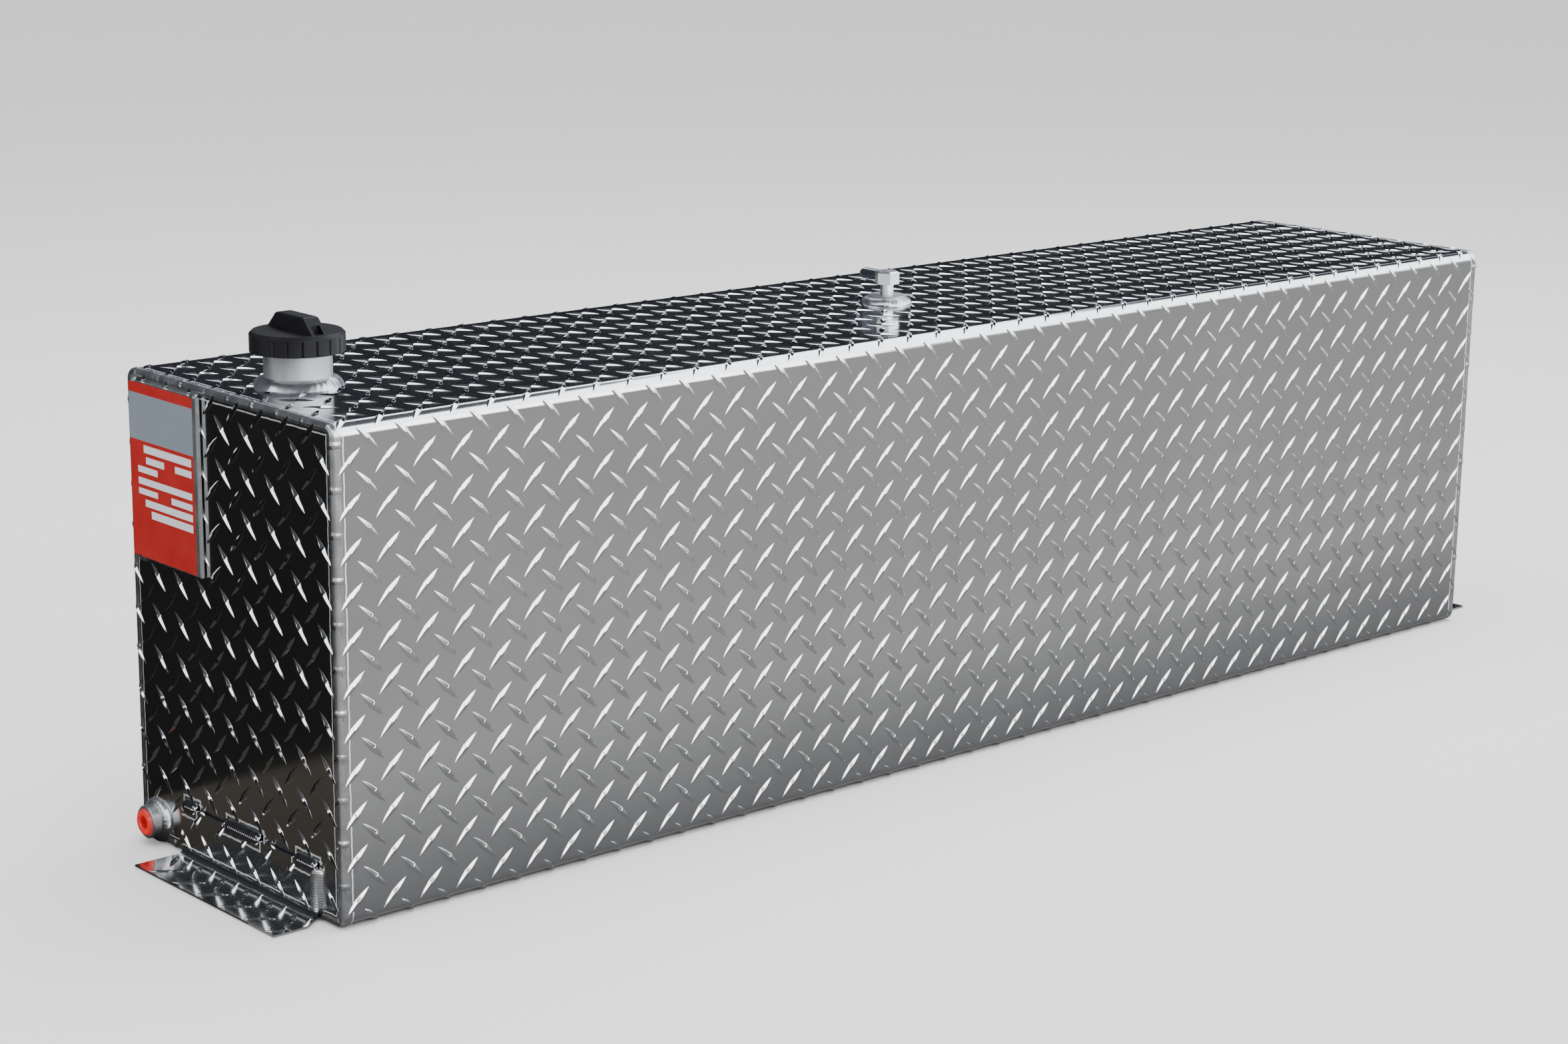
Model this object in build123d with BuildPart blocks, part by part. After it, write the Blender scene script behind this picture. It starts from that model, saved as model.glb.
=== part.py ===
from build123d import *

import os
from math import sqrt

# Truck bed transfer tank: a box of bright tread plate with welded ends, two baffles inside, a
# screw-capped fill neck and a relief vent on top, a plugged outlet and folded feet at the ends.
# Frame: origin on the ground under the middle of the tank, +X along it away from the nameplate
# end, -Y out of the front face, +Z up. Sizes are in millimetres.

# Box of the tank
length = 1575.0
depth = 330.0
height = 441.0
sheet = 3.2
bend_radius = 11.5

# Rolled tread: two sets of slender lugs at 45 degrees, half a pitch apart both ways. Each set
# starts so many pitches right of and below the top left corner of its face, seen from outside
tread_pitch = 38.5
lug_length = 33.5
lug_width = 5.4
lug_height = 1.3
smallest_lug = 0.65
front_slash = (0.38, 0.88)
front_backslash = (0.88, 0.38)
top_slash = (0.38, 0.32)
top_backslash = (0.88, 0.82)
end_slash = (0.61, 0.34)
end_backslash = (0.11, 0.84)

# Weld beads
corner_toe = 4.5
corner_round = 0.7
corner_flats = 3
fillet_leg = 7.0
small_fillet_leg = 5.0
fillet_bulge = 0.8
seam_gap = 2.0
seam_width = 9.0
seam_crown = 1.3
seam_height = 70.0

# Baffles
baffle_sheet = 2.5
baffle_bend = 5.0
baffle_flange = 26.0
baffle_spacing = 525.0
baffle_side_gap = 12.0
baffle_hole = 120.0
baffle_notch = 28.0
baffle_stitch = 40.0

# Fill neck and its screw cap
neck_from_end = 75.0
neck_diameter = 60.3
neck_wall = 3.2
neck_rise = 41.0
neck_drop = 6.0
cap_diameter = 84.0
cap_skirt = 18.0
cap_wall = 2.8
cap_edge = 2.5
cap_crown = 3.4
cap_grooves = 20
cap_groove_width = 2.4
cap_groove_margin = 4.0
cap_ribs = 10
cap_rib_width = 2.0
cap_collar_wall = 2.8
thread_gap = 0.3
grip_length = 42.0
grip_width = 15.5
grip_rise = 14.0
grip_slope = 14.0
grip_draft = 1.2
grip_pocket = (9.5, 7.0, 9.0)
gasket_width = 6.0
gasket_thickness = 2.2
liner_thickness = 1.6
liner_play = 0.2
rivet_shank = 6.0
rivet_head = 16.0
rivet_head_height = 1.8
rivet_reach = 9.0
turning_gap = 0.05

# Relief vent
vent_bung_diameter = 39.0
vent_bung_rise = 7.5
vent_thread = 13.6
vent_hex = 22.5
vent_hex_height = 13.0
vent_neck = 11.5
vent_chamfer = 1.6
vent_bore = 7.0
vent_branch = 10.0
vent_branch_bore = 5.0
vent_seat = 16.0
bonnet_diameter = 12.4
bonnet_reach = 38.0
bonnet_port = 2.4
bonnet_ports = 2
poppet_diameter = 9.0
poppet_thickness = 2.0
poppet_nose = 4.4
poppet_nose_length = 2.5
spring_diameter = 7.6
spring_wire = 0.9
spring_turns = 3.0

# Outlet
outlet_from_back = 28.0
outlet_rise = 20.0
outlet_diameter = 31.0
outlet_length = 14.0
outlet_bore = 19.0
plug_rim = 25.0
plug_rim_thickness = 2.6
plug_rim_round = 1.5
plug_length = 10.0
plug_cup = 12.4
plug_floor = 2.0
plug_gap = 0.1

# Feet
foot_leg = 49.0
foot_flange = 50.0
foot_bend = 6.0
foot_back = 88.0
foot_front = -140.0
foot_clip = (16.0, 11.0)
stitch_lengths = (23.0, 56.0, 33.0)
stitch_middle = -12.0

# Nameplate
plate_width = 115.0
plate_height = 162.0
plate_from_back = 10.0
plate_from_top = 9.0
label_margin = 1.0
label_thickness = 0.3
tack_length = 12.0

# Derived places
ground = 0.0
base = ground + lug_height
top = base + height
middle = base + height / 2
front = -depth / 2
back = depth / 2
left = -length / 2
wrap_length = length - 2 * sheet
inner_depth = depth - 2 * sheet
inner_height = height - 2 * sheet
inner_bend = bend_radius - sheet
corner_reach = sheet + corner_toe
neck_x = left + neck_from_end
neck_radius = neck_diameter / 2
foot_face = left - lug_height - sheet


os.makedirs("parts", exist_ok=True)


def bead_face(leg, rise, gap=0.0):
    """Section of a fillet bead: leg out along +X, rise up +Y, and a root that fills a gap at the wall."""
    root = [(gap, 0), (gap, -gap), (0, -gap)] if gap else [(0, 0)]
    with BuildSketch(mode=Mode.PRIVATE) as section:
        with BuildLine():
            swell = fillet_bulge / sqrt(2)
            Polyline((leg, 0), *root, (0, rise), (leg / 2 + swell, rise / 2 + swell), close=True)
        make_face()
    return section.sketch


def export(part, name):
    """Names a finished piece and writes it."""
    part.label = name
    export_step(part, f"parts/{name}.step")


# Tank wrap: one sheet folded into a tube, its butt seam low on the back
with BuildPart() as tank_wrap:
    with BuildSketch(Plane.YZ.offset(-wrap_length / 2)):
        with Locations((0, middle)):
            RectangleRounded(depth, height, bend_radius)
            RectangleRounded(inner_depth, inner_height, inner_bend, mode=Mode.SUBTRACT)
    extrude(amount=wrap_length)
    with Locations((0, back - sheet / 2, base + seam_height)):
        Box(wrap_length, 2 * sheet, seam_gap, mode=Mode.SUBTRACT)
    with Locations(Plane((neck_x, 0, top))):
        Hole(neck_radius, depth=2 * sheet)
    with Locations(Plane((0, 0, top))):
        Hole(vent_bung_diameter / 2, depth=2 * sheet)
export(tank_wrap.part, "tank_wrap")

# Seam weld: fills the gap and stands proud of the back face between the end beads
with BuildPart() as seam_weld:
    with Locations((0, back - sheet / 2, base + seam_height)):
        Box(wrap_length, sheet, seam_gap)
    with BuildSketch(Plane.YZ.offset(-wrap_length / 2 + corner_toe)):
        with BuildLine():
            seam_low = (back, base + seam_height - seam_width / 2)
            seam_high = (back, base + seam_height + seam_width / 2)
            ThreePointArc(seam_low, (back + seam_crown, base + seam_height), seam_high)
            Line(seam_high, seam_low)
        make_face()
    extrude(amount=wrap_length - 2 * corner_toe)
export(seam_weld.part, "seam_weld")

# End plates: flat sheets that meet the wrap edge to edge; the left one has the outlet's hole
outlet_z = base + outlet_rise
outlet_y = back - outlet_from_back
with BuildPart() as left_end_plate:
    with BuildSketch(Plane.YZ.offset(left)):
        with Locations((0, middle)):
            RectangleRounded(inner_depth, inner_height, inner_bend)
        with Locations((outlet_y, outlet_z)):
            Circle(outlet_bore / 2, mode=Mode.SUBTRACT)
    extrude(amount=sheet)
export(left_end_plate.part, "left_end_plate")

with BuildPart() as right_end_plate:
    with BuildSketch(Plane.YZ.offset(-left - sheet)):
        with Locations((0, middle)):
            RectangleRounded(inner_depth, inner_height, inner_bend)
    extrude(amount=sheet)
export(right_end_plate.part, "right_end_plate")

# End welds: a bead that fills the open corner all round and laps on to both sheets
with BuildSketch(Plane.YZ.offset(left + sheet)) as end_outline:
    with Locations((0, middle)):
        RectangleRounded(depth, height, bend_radius)
end_path = end_outline.sketch.face().outer_wire()
with BuildPart() as left_end_weld:
    with BuildSketch(Plane(end_path @ 0, x_dir=(-1, 0, 0), z_dir=(end_path % 0) * -1)):
        with BuildLine():
            crown = (sheet - corner_round, -corner_round)
            arc = ThreePointArc((-corner_toe, 0), crown, (sheet, -corner_reach), mode=Mode.PRIVATE)
            flats = [arc @ (step / corner_flats) for step in range(corner_flats + 1)]
            Polyline((sheet, -sheet), (0, -sheet), (0, 0), *flats, close=True)
        make_face()
    sweep(path=end_path)
whole_end_weld = left_end_weld.part
with BuildPart() as left_end_weld:
    add(whole_end_weld)
    with Locations(Plane((left, outlet_y, outlet_z), z_dir=(-1, 0, 0))):
        Cylinder(outlet_diameter / 2, outlet_length, align=(Align.CENTER, Align.CENTER, Align.MIN),
                 mode=Mode.SUBTRACT)
export(left_end_weld.part, "left_end_weld")

with BuildPart() as right_end_weld:
    mirror(whole_end_weld, about=Plane.YZ)
export(right_end_weld.part, "right_end_weld")

# Baffles: folded sheets with a large hole and clipped corners, flanged to the top and bottom
baffle_depth = inner_depth - 2 * baffle_side_gap
for name, x in (("baffle_left", -baffle_spacing / 2), ("baffle_right", baffle_spacing / 2)):
    with BuildPart() as baffle:
        with BuildSketch(Plane.XZ.offset(-baffle_depth / 2)):
            with BuildLine():
                FilletPolyline(
                    (x + baffle_flange, top - sheet),
                    (x, top - sheet),
                    (x, base + sheet),
                    (x + baffle_flange, base + sheet),
                    radius=baffle_bend,
                )
                offset(amount=baffle_sheet, side=Side.LEFT)
            make_face()
        extrude(amount=baffle_depth)
        with Locations(Plane((x, 0, middle), z_dir=(1, 0, 0))):
            Cylinder(baffle_hole / 2, 4 * baffle_sheet, mode=Mode.SUBTRACT)
        corners = [(x, y, z) for y in (-baffle_depth / 2, baffle_depth / 2) for z in (base + sheet, top - sheet)]
        with Locations(*[Plane(corner, z_dir=(1, 0, 0)) for corner in corners]):
            Cylinder(baffle_notch, 4 * baffle_flange, mode=Mode.SUBTRACT)
    export(baffle.part, name)

with BuildPart() as baffle_welds:
    stitch_ends = [side * baffle_depth / 4 + baffle_stitch / 2 for side in (-1, 1)]
    for x in (-baffle_spacing / 2 + baffle_flange, baffle_spacing / 2 + baffle_flange):
        for y in stitch_ends:
            with BuildSketch(Plane.XZ.offset(-y)):
                with BuildLine():
                    low = base + sheet
                    Polyline((x, low), (x + baffle_sheet, low), (x, low + baffle_sheet), close=True)
                make_face()
                with BuildLine():
                    high = top - sheet
                    Polyline((x, high), (x + baffle_sheet, high), (x, high - baffle_sheet), close=True)
                make_face()
            extrude(amount=baffle_stitch)
export(baffle_welds.part, "baffle_welds")

# Fill neck: a pipe through the top, with a heavy fillet round its foot
neck_bore = neck_radius - neck_wall
with BuildPart() as fill_neck:
    with BuildSketch(Plane((neck_x, 0, top - sheet - neck_drop))):
        Circle(neck_radius)
        Circle(neck_bore, mode=Mode.SUBTRACT)
    extrude(amount=neck_rise + sheet + neck_drop)
    rim = fill_neck.edges().filter_by(GeomType.CIRCLE).group_by(Axis.Z)[-1]
    chamfer(rim, neck_wall / 5)
export(fill_neck.part, "fill_neck")

with BuildPart() as fill_neck_weld:
    with BuildSketch(Plane((neck_x, 0, top), x_dir=(1, 0, 0), z_dir=(0, -1, 0))):
        with Locations((neck_radius, 0)):
            add(bead_face(fillet_leg, fillet_leg))
    revolve(axis=Axis((neck_x, 0, 0), (0, 0, 1)))
export(fill_neck_weld.part, "fill_neck_weld")

# Cap gasket and liner, riveted so that the cap turns over them
rim_z = top + neck_rise
with BuildPart() as cap_gasket:
    with BuildSketch(Plane((neck_x, 0, rim_z))):
        Circle(neck_radius)
        Circle(neck_radius - gasket_width, mode=Mode.SUBTRACT)
    extrude(amount=gasket_thickness)
export(cap_gasket.part, "cap_gasket")

liner_z = rim_z + gasket_thickness
with BuildPart() as cap_liner:
    with BuildSketch(Plane((neck_x, 0, liner_z))):
        Circle(neck_radius)
        Circle(rivet_shank / 2 + turning_gap, mode=Mode.SUBTRACT)
    extrude(amount=liner_thickness)
export(cap_liner.part, "cap_liner")

with BuildPart() as cap_rivet:
    with BuildSketch(Plane((neck_x, 0, liner_z), x_dir=(1, 0, 0), z_dir=(0, -1, 0))):
        with BuildLine():
            shank_top = liner_thickness + rivet_reach
            Polyline((rivet_head / 2, 0), (rivet_shank / 2, 0), (rivet_shank / 2, shank_top), (0, shank_top),
                     (0, -rivet_head_height), (rivet_head / 4, -rivet_head_height), close=True)
        make_face()
    revolve(axis=Axis((neck_x, 0, 0), (0, 0, 1)))
export(cap_rivet.part, "cap_rivet")

# Cap: a moulded skirt with grip grooves over a threaded collar, and a wedge grip across the crown
crown_under = liner_z + liner_thickness + liner_play
crown_top = crown_under + cap_crown
skirt_bottom = crown_top - cap_skirt
cap_radius = cap_diameter / 2
collar_radius = neck_radius + thread_gap
collar_outside = collar_radius + cap_collar_wall
cap_plane = Plane((neck_x, 0, 0), x_dir=(1, 0, 0), z_dir=(0, -1, 0))
cap_axis = Axis((neck_x, 0, 0), (0, 0, 1))
with BuildPart() as cap_shell:
    with BuildSketch(cap_plane) as cap_section:
        with BuildLine():
            Polyline((0, crown_under), (collar_radius, crown_under), (collar_radius, skirt_bottom + cap_edge),
                     (collar_outside, skirt_bottom + cap_edge), (collar_outside, crown_under),
                     (cap_radius - cap_wall, crown_under), (cap_radius - cap_wall, skirt_bottom),
                     (cap_radius, skirt_bottom), (cap_radius, crown_top), (0, crown_top), close=True)
        make_face()
    revolve(axis=cap_axis)
    chamfer(cap_shell.edges().filter_by(GeomType.CIRCLE).group_by(Axis.Z)[-1], cap_edge)
    with BuildSketch(Plane((neck_x, 0, skirt_bottom + cap_edge))):
        with PolarLocations((collar_outside + cap_radius - cap_wall) / 2, cap_ribs):
            Rectangle(cap_radius - cap_wall - collar_outside + 1, cap_rib_width)
        Circle(collar_outside, mode=Mode.SUBTRACT)
    extrude(amount=crown_under - skirt_bottom - cap_edge)
    with BuildSketch(Plane((neck_x, 0, skirt_bottom))):
        with PolarLocations(cap_radius, cap_grooves, start_angle=180 / cap_grooves):
            RegularPolygon(cap_groove_width / 2, 4)
    extrude(amount=cap_skirt - cap_groove_margin, mode=Mode.SUBTRACT)
    with BuildSketch(Plane((neck_x, 0, crown_top), x_dir=(0, 1, 0), z_dir=(1, 0, 0)).offset(-grip_width / 2)):
        with BuildLine():
            foot_half = grip_length / 2 + grip_slope
            Polyline((-foot_half, 0), (foot_half, 0), (grip_length / 2, grip_rise), (-grip_length / 2, grip_rise),
                     close=True)
        make_face()
    extrude(amount=grip_width)
    ridge = cap_shell.edges().group_by(Axis.Z)[-1]
    chamfer(ridge, grip_draft)
    width, rise, reach = grip_pocket
    for side in (-1, 1):
        with Locations((neck_x, side * (foot_half - reach / 2), crown_top + rise / 2)):
            Box(width, reach, rise, mode=Mode.SUBTRACT)
    with Locations((neck_x, 0, crown_under)):
        Cylinder(rivet_shank / 2 + turning_gap, rivet_reach, align=(Align.CENTER, Align.CENTER, Align.MIN),
                 mode=Mode.SUBTRACT)
export(cap_shell.part, "cap_shell")

# Vent bung: a threaded boss through the top
with BuildPart() as vent_bung:
    with BuildSketch(Plane((0, 0, top - sheet))):
        Circle(vent_bung_diameter / 2)
        Circle(vent_thread / 2 + turning_gap, mode=Mode.SUBTRACT)
    extrude(amount=sheet + vent_bung_rise)
    chamfer(vent_bung.edges().filter_by(GeomType.CIRCLE).group_by(Axis.Z)[-1].sort_by(SortBy.RADIUS)[-1],
            vent_bung_rise / 6)
export(vent_bung.part, "vent_bung")

with BuildPart() as vent_bung_weld:
    with BuildSketch(Plane((0, 0, top), x_dir=(1, 0, 0), z_dir=(0, -1, 0))):
        with Locations((vent_bung_diameter / 2, 0)):
            add(bead_face(small_fillet_leg, small_fillet_leg))
    revolve(axis=Axis.Z)
export(vent_bung_weld.part, "vent_bung_weld")

# Vent body: threaded shank, hexagon, and a side branch that ends in the valve seat
hex_z = top + vent_bung_rise + vent_neck
branch_z = hex_z + vent_hex_height / 2
with BuildPart() as vent_body:
    with BuildSketch(Plane((0, 0, top - sheet))):
        Circle(vent_thread / 2)
    extrude(amount=sheet + vent_bung_rise + vent_neck)
    with BuildSketch(Plane((0, 0, hex_z))):
        RegularPolygon(vent_hex / 2, 6, major_radius=False)
    extrude(amount=vent_hex_height)
    chamfer(vent_body.edges().group_by(Axis.Z)[-1], vent_chamfer)
    with BuildSketch(Plane((0, 0, branch_z), x_dir=(1, 0, 0), z_dir=(0, 1, 0))):
        Circle(vent_branch / 2)
    extrude(amount=vent_seat)
    with Locations((0, 0, top - sheet)):
        Cylinder(vent_bore / 2, branch_z - top + sheet, align=(Align.CENTER, Align.CENTER, Align.MIN),
                 mode=Mode.SUBTRACT)
    with Locations(Plane((0, 0, branch_z), z_dir=(0, 1, 0))):
        Cylinder(vent_branch_bore / 2, vent_seat, align=(Align.CENTER, Align.CENTER, Align.MIN),
                 mode=Mode.SUBTRACT)
export(vent_body.part, "vent_body")

# Bonnet: a domed cup over the branch that holds the spring, with ports for the vapour
bonnet_radius = bonnet_diameter / 2
bonnet_bore = vent_branch / 2 + turning_gap
bonnet_start = vent_hex / 2 + 1
bonnet_wall = bonnet_radius - bonnet_bore
bonnet_end = bonnet_reach - bonnet_radius
branch_plane = Plane((0, 0, branch_z), x_dir=(0, 1, 0), z_dir=(1, 0, 0))
branch_axis = Axis((0, 0, branch_z), (0, 1, 0))
with BuildPart() as vent_bonnet:
    with BuildSketch(branch_plane):
        with BuildLine():
            dome = bonnet_radius / sqrt(2)
            Polyline((bonnet_end, 0), (bonnet_end, bonnet_bore), (bonnet_start, bonnet_bore),
                     (bonnet_start, bonnet_radius), (bonnet_end, bonnet_radius), (bonnet_end + dome, dome),
                     (bonnet_reach, bonnet_radius / 4), (bonnet_reach, 0), close=True)
        make_face()
    revolve(axis=branch_axis)
    with Locations(Plane((0, bonnet_end - bonnet_port, branch_z), z_dir=(0, 1, 0))):
        with PolarLocations(bonnet_radius, bonnet_ports):
            Cylinder(bonnet_port / 2, 4 * bonnet_wall, rotation=(0, 90, 0), mode=Mode.SUBTRACT)
export(vent_bonnet.part, "vent_bonnet")

# Poppet: a disc on the seat with a nose in the branch
with BuildPart() as vent_poppet:
    with BuildSketch(branch_plane):
        with BuildLine():
            nose = vent_seat - poppet_nose_length
            Polyline((nose, 0), (nose, poppet_nose / 2 - 0.6), (vent_seat, poppet_nose / 2),
                     (vent_seat, poppet_diameter / 2), (vent_seat + poppet_thickness, poppet_diameter / 2),
                     (vent_seat + poppet_thickness, 0), close=True)
        make_face()
    revolve(axis=branch_axis)
export(vent_poppet.part, "vent_poppet")

spring_start = vent_seat + poppet_thickness + spring_wire / 2
spring_length = bonnet_end - spring_wire / 2 - spring_start
with BuildPart() as vent_spring:
    with BuildLine():
        coil = Helix(spring_length / spring_turns, spring_length, (spring_diameter - spring_wire) / 2,
                     center=(0, spring_start, branch_z), direction=(0, 1, 0))
    with BuildSketch(Plane(coil @ 0, z_dir=coil % 0)):
        RegularPolygon(spring_wire / 2, 4)
    sweep(path=coil, is_frenet=True)
export(vent_spring.part, "vent_spring")

# Outlet bung: a threaded boss on the left end plate, level with the tank's bottom
outlet_plane = Plane((left, outlet_y, outlet_z), x_dir=(0, 1, 0), z_dir=(-1, 0, 0))
with BuildPart() as outlet_bung:
    with BuildSketch(outlet_plane):
        Circle(outlet_diameter / 2)
        Circle(outlet_bore / 2, mode=Mode.SUBTRACT)
    extrude(amount=outlet_length)
    chamfer(outlet_bung.edges().filter_by(GeomType.CIRCLE).group_by(Axis.X)[0].sort_by(SortBy.RADIUS)[-1],
            outlet_length / 14)
export(outlet_bung.part, "outlet_bung")

with BuildPart() as outlet_weld:
    with BuildSketch(Plane((left, outlet_y, outlet_z), x_dir=(0, 0, 1), z_dir=(0, -1, 0))):
        with Locations((outlet_diameter / 2, 0)):
            add(bead_face(small_fillet_leg, small_fillet_leg))
    revolve(axis=Axis((left, outlet_y, outlet_z), (1, 0, 0)))
    split(bisect_by=Plane.XY.offset(base), keep=Keep.TOP)
    add(whole_end_weld, mode=Mode.SUBTRACT)
export(outlet_weld.part, "outlet_weld")

# Outlet plug: a thin plastic cup with a rim, pushed into the bung
with BuildPart() as outlet_plug:
    with BuildSketch(Plane((left - outlet_length, outlet_y, outlet_z), x_dir=(-1, 0, 0), z_dir=(0, -1, 0))):
        with BuildLine():
            plug_radius = outlet_bore / 2 - plug_gap
            cup = plug_cup / 2
            Polyline((-plug_length, 0), (-plug_length, plug_radius - 1), (-plug_length + 2, plug_radius),
                     (0, plug_radius), (0, plug_rim / 2), (plug_rim_thickness, plug_rim / 2 - plug_rim_round),
                     (plug_rim_thickness, cup + 0.8), (plug_rim_thickness - 1.2, cup),
                     (-plug_length + plug_floor, cup - 0.6), (-plug_length + plug_floor, 0), close=True)
        make_face()
    revolve(axis=Axis((left, outlet_y, outlet_z), (1, 0, 0)))
export(outlet_plug.part, "outlet_plug")

# Foot brackets: folded angles on the end plates, their flanges on the ground
clip_out, clip_back = foot_clip
leg_front = foot_front + clip_back
with BuildPart() as left_foot_bracket:
    with BuildSketch(Plane.XZ.offset(-foot_back)):
        with BuildLine():
            FilletPolyline(
                (foot_face - foot_flange, ground),
                (foot_face + sheet, ground),
                (foot_face + sheet, ground + foot_leg),
                radius=foot_bend + sheet,
            )
            offset(amount=sheet, side=Side.LEFT)
        make_face()
    extrude(amount=foot_back - foot_front)
    with BuildSketch(Plane.XY.offset(ground)):
        Polygon((left, leg_front), (foot_face, leg_front), (foot_face - clip_out, foot_front),
                (left, foot_front), align=None)
    extrude(amount=foot_leg, mode=Mode.SUBTRACT)
export(left_foot_bracket.part, "left_foot_bracket")

with BuildPart() as right_foot_bracket:
    mirror(left_foot_bracket.part, about=Plane.YZ)
export(right_foot_bracket.part, "right_foot_bracket")

# Foot welds: three stitches along the leg's top edge and one down its front edge
stand_off = lug_height + sheet
back_stitch, middle_stitch, front_stitch = stitch_lengths
stitches = (
    (foot_back - back_stitch, back_stitch),
    (stitch_middle - middle_stitch / 2, middle_stitch),
    (leg_front, front_stitch),
)
foot_weld_bottom = base + corner_reach + fillet_bulge
with BuildPart() as left_foot_weld:
    for y, run in stitches:
        with BuildSketch(Plane((left, y, ground + foot_leg), x_dir=(-1, 0, 0), z_dir=(0, 1, 0))):
            add(bead_face(stand_off, small_fillet_leg, lug_height))
        extrude(amount=run)
    with BuildSketch(Plane((left, leg_front, foot_weld_bottom), x_dir=(-1, 0, 0), z_dir=(0, 0, 1))):
        add(bead_face(stand_off, small_fillet_leg, lug_height))
    extrude(amount=ground + foot_leg - lug_height - foot_weld_bottom)
export(left_foot_weld.part, "left_foot_weld")

with BuildPart() as right_foot_weld:
    mirror(left_foot_weld.part, about=Plane.YZ)
export(right_foot_weld.part, "right_foot_weld")

# Nameplate: a flat plate on the lugs, tacked at three corners, with a blank label
plate_back = back - plate_from_back
plate_front = plate_back - plate_width
plate_top = top - plate_from_top
plate_bottom = plate_top - plate_height
plate_face = left - lug_height - sheet
with BuildPart() as nameplate:
    with BuildSketch(Plane.YZ.offset(plate_face)):
        with Locations(((plate_back + plate_front) / 2, (plate_top + plate_bottom) / 2)):
            Rectangle(plate_width, plate_height)
    extrude(amount=sheet)
export(nameplate.part, "nameplate")

with BuildPart() as nameplate_label:
    with BuildSketch(Plane.YZ.offset(plate_face - label_thickness)):
        with Locations(((plate_back + plate_front) / 2, (plate_top + plate_bottom) / 2)):
            Rectangle(plate_width - 2 * label_margin, plate_height - 2 * label_margin)
    extrude(amount=label_thickness)
export(nameplate_label.part, "nameplate_label")

tacks = ((plate_back - tack_length / 2, plate_top, 1), (plate_front + tack_length / 2, plate_top, 1),
         (plate_back - tack_length, plate_bottom, -1))
with BuildPart() as nameplate_tacks:
    for y, z, way in tacks:
        with BuildSketch(Plane((left, y - way * tack_length / 2, z), x_dir=(-1, 0, 0), z_dir=(0, way, 0))):
            add(bead_face(stand_off, small_fillet_leg, lug_height))
        extrude(amount=tack_length)
    add(whole_end_weld, mode=Mode.SUBTRACT)
export(nameplate_tacks.part, "nameplate_tacks")

# Tread: slender lugs over the faces that show, trimmed where a weld or a fold meets them
with BuildPart() as tread_lug:
    with BuildSketch() as lug_foot:
        Polygon((-lug_length / 2, 0), (0, -lug_width / 2), (lug_length / 2, 0), (0, lug_width / 2))
    loft([lug_foot.sketch.face(), Vertex(0, 0, lug_height)], ruled=True)


def tread(slab, plane, slash, backslash):
    """Lugs in the slab on a face, in rows from the plane's corner to the right and down."""
    field = slab.faces().sort_by(Axis(plane.origin, plane.z_dir))[0]
    border = Compound(field.edges())
    reach = plane.to_local_coords(slab).bounding_box()
    columns = int(reach.max.X / tread_pitch) + 1
    rows = int(-reach.min.Y / tread_pitch) + 1
    lugs = []
    for (across, down), turn in ((slash, 45), (backslash, -45)):
        for column in range(columns):
            for row in range(rows):
                place = Location(Vector(across + column, -down - row) * tread_pitch, (0, 0, turn))
                lug = tread_lug.part.solid().moved(plane.location * place)
                centre = (plane.location * place).position
                if border.distance_to(Vertex(*centre)) > lug_length / 2:
                    lugs += [lug] if field.is_inside(centre) else []
                elif trimmed := lug & slab:
                    lugs += [end for end in trimmed.solids() if end.volume > smallest_lug * lug.volume]
    return Part(Compound(lugs).wrapped)


side_run = length - 2 * (sheet + corner_toe)
front_plane = Plane((left, front, top), x_dir=(1, 0, 0), z_dir=(0, -1, 0))
with BuildPart() as front_slab:
    with BuildSketch(front_plane):
        with Locations((length / 2, -height / 2)):
            Rectangle(side_run, height - 2 * bend_radius)
    extrude(amount=lug_height)
export(tread(front_slab.part, front_plane, front_slash, front_backslash), "front_tread")

top_plane = Plane((left, back, top), x_dir=(1, 0, 0), z_dir=(0, 0, 1))
with BuildPart() as top_slab:
    with BuildSketch(top_plane):
        with Locations((length / 2, -depth / 2)):
            Rectangle(side_run, depth - 2 * bend_radius)
            Circle(vent_bung_diameter / 2 + small_fillet_leg, mode=Mode.SUBTRACT)
        with Locations((neck_from_end, -depth / 2)):
            Circle(neck_radius + fillet_leg, mode=Mode.SUBTRACT)
    extrude(amount=lug_height)
export(tread(top_slab.part, top_plane, top_slash, top_backslash), "top_tread")

left_plane = Plane((left, back, top), x_dir=(0, -1, 0), z_dir=(-1, 0, 0))
with BuildPart() as left_slab:
    with BuildSketch(left_plane):
        with Locations((depth / 2, -height / 2)):
            RectangleRounded(depth - 2 * corner_reach, height - 2 * corner_reach, bend_radius - corner_reach)
        with Locations((outlet_from_back, -height + outlet_rise)):
            Circle(outlet_diameter / 2 + small_fillet_leg, mode=Mode.SUBTRACT)
    extrude(amount=lug_height)
    add(left_foot_weld.part, mode=Mode.SUBTRACT)
    add(nameplate_tacks.part, mode=Mode.SUBTRACT)
export(tread(left_slab.part, left_plane, end_slash, end_backslash), "left_end_tread")

right_plane = Plane((-left, front, top), x_dir=(0, 1, 0), z_dir=(1, 0, 0))
with BuildPart() as right_slab:
    with BuildSketch(right_plane):
        with Locations((depth / 2, -height / 2)):
            RectangleRounded(depth - 2 * corner_reach, height - 2 * corner_reach, bend_radius - corner_reach)
    extrude(amount=lug_height)
    add(right_foot_weld.part, mode=Mode.SUBTRACT)
export(tread(right_slab.part, right_plane, end_slash, end_backslash), "right_end_tread")
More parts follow.
